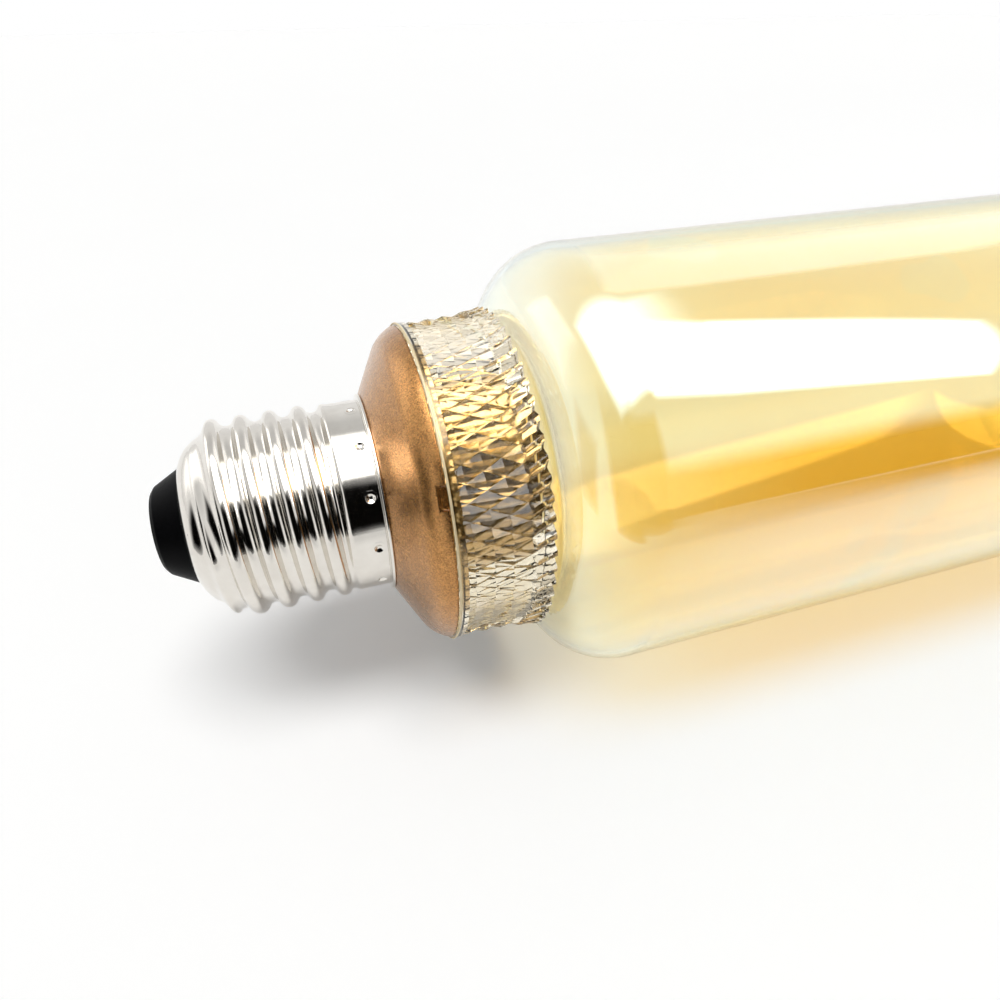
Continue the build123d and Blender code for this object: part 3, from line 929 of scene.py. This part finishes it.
def envelope_skin(inset):
    """One skin of the glass from the neck's end to the closed end, drawn in by inset."""
    x_bend, x_corner, x_dome = x_glass - neck_round, x_glass + corner_radius, x_end - tube_radius
    inset = inset + skin_clearance
    bend, corner, tube = neck_round + inset, corner_radius - inset, tube_radius - inset
    bend_middle, corner_middle = (x_bend, shoulder_middle), (x_corner, shoulder_middle)
    skin = [(x_neck, neck_radius - inset)]
    skin += arc(bend_middle, (x_bend, shoulder_middle - bend), (x_bend + bend, shoulder_middle), 12)
    skin += arc(corner_middle, (x_corner - corner, shoulder_middle), (x_corner, tube), 20)[1:]
    skin += [(x, tube) for x in np.linspace(x_corner, x_dome, 12)[1:-1]]
    skin += arc((x_dome, 0), (x_dome, tube), (x_dome + tube, near_axis), 32)
    return skin


def store(piece, name, values):
    """Keep one value per point on a piece's mesh, for its material to read."""
    piece.data.attributes.new(name, "FLOAT", "POINT").data.foreach_set("value", values)


envelope_outline = envelope_skin(0) + envelope_skin(glass_wall)[::-1]
envelope = turned(
    "amber_envelope", envelope_outline, amber, around=192, smooth_angle=60
)
half = len(envelope.data.vertices) // 2
store(envelope, "outer_skin", [1.0] * half + [0.0] * half)
along = np.array([vertex.co.x for vertex in envelope.data.vertices]) / MM
store(envelope, "coat", thinnest_coat + (1 - thinnest_coat) * smooth_step(x_bare, x_coated, along))
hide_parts("glass_envelope")

# %% [markdown]
# ## What sits inside
# A bed of amber adhesive holds the neck in the ring. Behind it lie the aluminium plate, the white board with
# its emitters and, out of sight in the skirt, the driver. These solids keep their shape, and each slot of
# the record gets a finish of its own: two colours, a range of roughness, the size of its patches and the
# depth of its bump.

# %% inner finishes
inner_looks = {
    "amber_adhesive": ("adhesive", (0.56, 0.45, 0.24), (0.68, 0.57, 0.33), (0.2, 0.4), 1.2, 0.02),
    "bare_aluminium": ("rolled_sheet", (0.62, 0.62, 0.63), (0.74, 0.74, 0.75), (0.28, 0.42), 1.2, 0.004),
    "white_board": ("white_mask", (0.78, 0.78, 0.75), (0.84, 0.84, 0.81), (0.35, 0.5), 2.0, 0.003),
    "phosphor": ("phosphor_gel", (0.80, 0.53, 0.08), (0.88, 0.64, 0.14), (0.25, 0.4), 0.4, 0.01),
    "green_board": ("green_mask", (0.02, 0.10, 0.045), (0.03, 0.14, 0.06), (0.3, 0.45), 1.5, 0.004),
    "black_moulding": ("epoxy", (0.012, 0.012, 0.013), (0.025, 0.025, 0.027), (0.5, 0.7), 0.3, 0.006),
    "capacitor_sleeve": ("sleeve", (0.010, 0.014, 0.04), (0.018, 0.022, 0.06), (0.25, 0.4), 1.0),
    "ferrite": ("wound_ferrite", (0.020, 0.018, 0.018), (0.045, 0.032, 0.026), (0.5, 0.7), 0.5, 0.01),
    "resistor_body": ("lacquer", (0.09, 0.24, 0.28), (0.13, 0.30, 0.34), (0.2, 0.35), 0.8),
    "white_wire": ("white_insulation", (0.68, 0.67, 0.64), (0.78, 0.77, 0.74), (0.4, 0.55), 0.6),
    "red_wire": ("red_insulation", (0.34, 0.012, 0.010), (0.42, 0.02, 0.016), (0.4, 0.55), 0.6),
    "black_wire": ("black_insulation", (0.010, 0.010, 0.010), (0.02, 0.02, 0.02), (0.4, 0.55), 0.6),
}
inner_metals = {"bare_aluminium"}
inner_finishes = {
    slot: plain_finish(*look, Metallic=1.0 if slot in inner_metals else 0.0)
    for slot, look in inner_looks.items()
}
slot_of = {s["node"]: s["material_slot"] for s in frame["record"]["subparts"]}
for node, slot in slot_of.items():
    if slot in inner_finishes:
        nodes_of_frame[node].data.materials.clear()
        nodes_of_frame[node].data.materials.append(inner_finishes[slot])
print("inner finishes:", len(inner_finishes))

# %% [markdown]
# ## A stage that knows who looks
# The lamp lies on a white table in a bright room. White surroundings would light the lamp a second time if
# they glowed for everything alike. So the stage asks each ray what it is for: rays from the eye, from
# mirrors and through glass may see a brighter room than rays that gather light.

# %% helpers for the stage
def seen_directly(tree):
    """1 for rays from the camera, from mirrors and through glass, and 0 for rays that gather light.

    A ray that gathers light and then passes through glass stays one that gathers light.
    """
    path = add_node(tree, "ShaderNodeLightPath").outputs
    mirrored = reckon(tree, "MAXIMUM", path["Is Camera Ray"], path["Is Glossy Ray"])
    seen = reckon(tree, "MAXIMUM", mirrored, path["Is Transmission Ray"])
    return reckon(tree, "SUBTRACT", seen, path["Diffuse Depth"], use_clamp=True)


def stage_card(name, corners, material):
    """A flat four-cornered stage object, with corners in millimetres and a map from 0 to 1 over it."""
    mesh = bpy.data.meshes.new(name)
    mesh.from_pydata([tuple(v * MM for v in corner) for corner in corners], [], [(0, 1, 2, 3)])
    over = mesh.uv_layers.new(name="over")
    for corner, place in zip(over.data, ((0, 0), (1, 0), (1, 1), (0, 1))):
        corner.uv = place
    mesh.materials.append(material)
    card = bpy.data.objects.new(name, mesh)
    bpy.context.scene.collection.objects.link(card)
    print(name, "reaches from", [round(v) for v in corners[0]], "to", [round(v) for v in corners[2]])
    return card


def level_at(z, *corners):
    """The corners of a level card."""
    return [(x, y, z) for x, y in corners]


def wall_along_x(y, x_from, x_to, low, high):
    """The corners of an upright card that runs along the lamp."""
    return [(x_from, y, low), (x_to, y, low), (x_to, y, high), (x_from, y, high)]


def wall_along_y(x, y_from, y_to, low, high):
    """The corners of an upright card that runs across the lamp."""
    return [(x, y_from, low), (x, y_to, low), (x, y_to, high), (x, y_from, high)]


print("the table top lies at", round(floor_z, 2))

# %% [markdown]
# ## The table
# The lamp rests on a white table top with a soft grey shadow. More light would burn the lamp out before the
# table turned white. Instead the table is nearly white, and lifted by a faint glow only where it is seen, so
# the shadow stays.

# %% table
table_lift = 0.21
table_reach = 3000


def make_table():
    """Nearly white, and lifted to full white where it is seen, so that only the shadow stays grey."""
    material, tree, shader = new_finish("white_table", Roughness=0.6, Specular_IOR_Level=0.2)
    patches = place_effect(tree, grain, Size=60.0)
    paint = two_colours(tree, patches, (0.85, 0.85, 0.845), (0.87, 0.87, 0.865))
    tree.links.new(paint, shader.inputs["Base Color"])
    strength = reckon(tree, "MULTIPLY", seen_directly(tree), table_lift)
    glow = add_node(tree, "ShaderNodeEmission", {"Color": (1, 1, 0.995, 1), "Strength": strength})
    show_surface(tree, add_node(tree, "ShaderNodeAddShader", {0: shader.outputs[0], 1: glow.outputs[0]}))
    return material


table_corners = [(x * table_reach, y * table_reach) for x, y in ((-1, -1), (1, -1), (1, 1), (-1, 1))]
stage_card("table", level_at(floor_z, *table_corners), make_table())

# %% [markdown]
# ## Cards with soft edges
# Bright metal and clear glass show whatever stands around them, so cards stand round the lamp: bright cloth
# and dark felt, and one black sheet on the table that is painted shadow. A hard edge would show as a box in
# every reflection, so the cards fade out towards their edges. Only mirrors and clear pieces see them, and a
# cloth glows only for rays that gather no light.

# %% cards with soft edges
cloth_shade = 0.96


def make_soft_edge():
    """A mask that is 1 inside a card and fades out towards its edges."""
    tree, given, result = new_group("soft_edge", {"Softness": 0.2}, {"Inside": "NodeSocketFloat"})
    place = add_node(tree, "ShaderNodeTexCoord")
    apart = add_node(tree, "ShaderNodeSeparateXYZ", {"Vector": place.outputs["UV"]})
    nearest = [
        reckon(tree, "MINIMUM", apart.outputs[axis], reckon(tree, "SUBTRACT", 1.0, apart.outputs[axis]))
        for axis in ("X", "Y")
    ]
    fade = add_node(
        tree, "ShaderNodeMapRange",
        {"Value": reckon(tree, "MINIMUM", *nearest), "From Max": given.outputs["Softness"]},
        interpolation_type="SMOOTHSTEP",
    )
    tree.links.new(fade.outputs["Result"], result.inputs["Inside"])
    return tree


soft_edge = make_soft_edge()


def soft_card(name, corners, softness, colour, glow=0.0):
    """A card that only mirrors and glass see: dark felt, a painted shadow, or bright cloth where it glows.
    """
    material, tree, shader = new_finish(name, Roughness=1.0, Specular_IOR_Level=0.0)
    if glow:
        path = add_node(tree, "ShaderNodeLightPath")
        ungathered = reckon(tree, "SUBTRACT", 1.0, path.outputs["Diffuse Depth"], use_clamp=True)
        tree.links.new(reckon(tree, "MULTIPLY", ungathered, glow), shader.inputs["Emission Strength"])
    weave = place_effect(tree, grain, Size=30.0)
    shade = two_colours(tree, weave, [cloth_shade * c for c in colour], colour)
    tree.links.new(shade, shader.inputs["Emission Color" if glow else "Base Color"])
    tree.links.new(place_effect(tree, soft_edge, Softness=softness), shader.inputs["Alpha"])
    card = stage_card(name, corners, material)
    card.visible_camera = card.visible_diffuse = card.visible_shadow = False


print("effects with the soft edge:", len(bpy.data.node_groups))

# %% [markdown]
# ## Bright cloths
# Two cloths overhead draw the long white streaks on glass and nickel. One at the left gives the skirt its
# soft highlight, and a dim one at the back brightens the clear ring. Lamps with a surface could do the same,
# but cards keep what is mirrored apart from what lights the table.

# %% bright cloths
white = (1, 1, 0.99)
cloth_z = 400
near_corners = (-260, -420), (300, -260), (300, 170), (-260, 170)
soft_card("near_cloth", level_at(cloth_z, *near_corners), 0.22, white, 5.0)
far_corners = (110, 120), (110, -240), (920, -590), (590, -170)
soft_card("far_cloth", level_at(cloth_z, *far_corners), 0.16, white, 5.0)
soft_card("left_cloth", wall_along_y(-450, 60, 800, 40, 650), 0.3, white, 1.35)
soft_card("back_cloth", wall_along_x(600, 150, 2000, 250, 1500), 0.25, white, 0.9)

# %% [markdown]
# ## Dark cards
# With nothing dark to mirror, nickel looks like chalk and clear glass like milk. Strips of felt beside the
# lamp and a card across the cap's end draw the dark bands that run along the pieces. A black sheet lying
# just
# above the table is painted shadow: it stands for the shade on the table in front of the lamp, as mirrors
# and glass show it.

# %% dark cards
# the same black colours the felt strips and the painted shadow on the table
felt_and_painted_shadow = (0.004, 0.0035, 0.003)
painted_shadow_z = floor_z + 0.5
painted_shadow_corners = (-100, -400), (900, -400), (900, -60), (-100, -60)
soft_card("low_strip", wall_along_x(-320, -150, 1200, -120, 150), 0.3, felt_and_painted_shadow)
# painted shadow: a black sheet just above the table stands for the shade on the table in front of the lamp,
# seen only in mirrors and glass
soft_card("painted_table_shadow", level_at(painted_shadow_z, *painted_shadow_corners), 0.5, felt_and_painted_shadow)
soft_card("near_strip", wall_along_x(-200, -70, 160, -60, 230), 0.2, felt_and_painted_shadow)
soft_card("side_card", wall_along_y(-85, 10, -75, -45, 65), 0.3, felt_and_painted_shadow)

# %% [markdown]
# ## Light
# Two broad suns nearly overhead light the table and the lamp evenly, at a level at which a colour renders
# about as it is written. One alone would leave a single shadow with a clear edge. Mirrors and glass don't
# see them: what they see are the cloths.

# %% light
light_level = 0.64
light_spread = 24
light_back = 8
light_leans = (-17, 6)
for k, lean in enumerate(light_leans):
    light = bpy.data.lights.new("light_%d" % k, "SUN")
    light.energy = light_level * pi / len(light_leans)
    light.angle = radians(light_spread)
    light_object = bpy.data.objects.new("light_%d" % k, light)
    bpy.context.scene.collection.objects.link(light_object)
    light_object.rotation_euler = (radians(light_back), radians(lean), 0)
    light_object.visible_camera = False
    light_object.visible_glossy = light_object.visible_transmission = False
    print(light.name, "leans", lean, "degrees, energy", round(light.energy, 3))

# %% [markdown]
# ## Surroundings
# The room is plain white for the eye, a little darker overhead for mirrors and glass, and dim as a source of
# light, so that the shadow under the lamp stays. A picture of a room would do the same with more detail, but
# a formula by height keeps the reflections calm.

# %% surroundings
fill_level = 0.28
wall_height, ceiling_height = 0.45, 0.75
wall_level, ceiling_level = 0.88, 0.65
world = bpy.data.worlds.new("white_room")
world.use_nodes = True
bpy.context.scene.world = world
room = world.node_tree
path = add_node(room, "ShaderNodeLightPath")
way = add_node(room, "ShaderNodeTexCoord")
height = add_node(room, "ShaderNodeSeparateXYZ", {"Vector": way.outputs["Generated"]})
ceiling = add_node(room, "ShaderNodeMapRange", {
    "Value": height.outputs["Z"], "From Min": wall_height, "From Max": ceiling_height,
    "To Min": wall_level, "To Max": ceiling_level,
})
lit = reckon(room, "MAXIMUM", ceiling.outputs["Result"], path.outputs["Is Camera Ray"])
level = add_node(
    room, "ShaderNodeMapRange", {"Value": seen_directly(room), "To Min": fill_level, "To Max": lit}
)
background = room.nodes["Background"]
background.inputs["Color"].default_value = (1, 1, 1, 1)
room.links.new(level.outputs["Result"], background.inputs["Strength"])
print("fill light", fill_level, "and walls seen at", wall_level)

# %% [markdown]
# ## Camera
# The camera stands close and looks down, so the near parts of the lamp look large. Its place, direction and
# lens were fitted to points measured on a photograph. A last dark card stands just behind the lens: it is
# the dark field that glass and nickel mirror from the near side.

# %% camera
camera = bpy.data.cameras.new("camera")
camera.sensor_width = 36.0
camera.lens = 25.16
camera.clip_start = 0.001
camera_object = bpy.data.objects.new("camera", camera)
bpy.context.scene.collection.objects.link(camera_object)
camera_position = Vector((20.68, -80.96, 55.40)) * MM
camera_yaw, camera_pitch, camera_roll = radians(-17.45), radians(-35.75), radians(-0.79)
camera_object.matrix_world = (
    Matrix.Translation(camera_position)
    @ Matrix.Rotation(camera_yaw, 4, "Z")
    @ Matrix.Rotation(pi / 2 + camera_pitch, 4, "X")
    @ Matrix.Rotation(camera_roll, 4, "Z")
)
bpy.context.scene.camera = camera_object
bpy.context.scene.view_settings.view_transform = "Standard"
camera_axes = camera_object.matrix_world.to_3x3()
behind_lens = 3
front_corners = (-66, -140), (56, -140), (22, 58), (-66, 58)
soft_card("front_card", [
    camera_position / MM + camera_axes @ Vector((aside, above, behind_lens))
    for aside, above in front_corners
], 0.3, felt_and_painted_shadow)
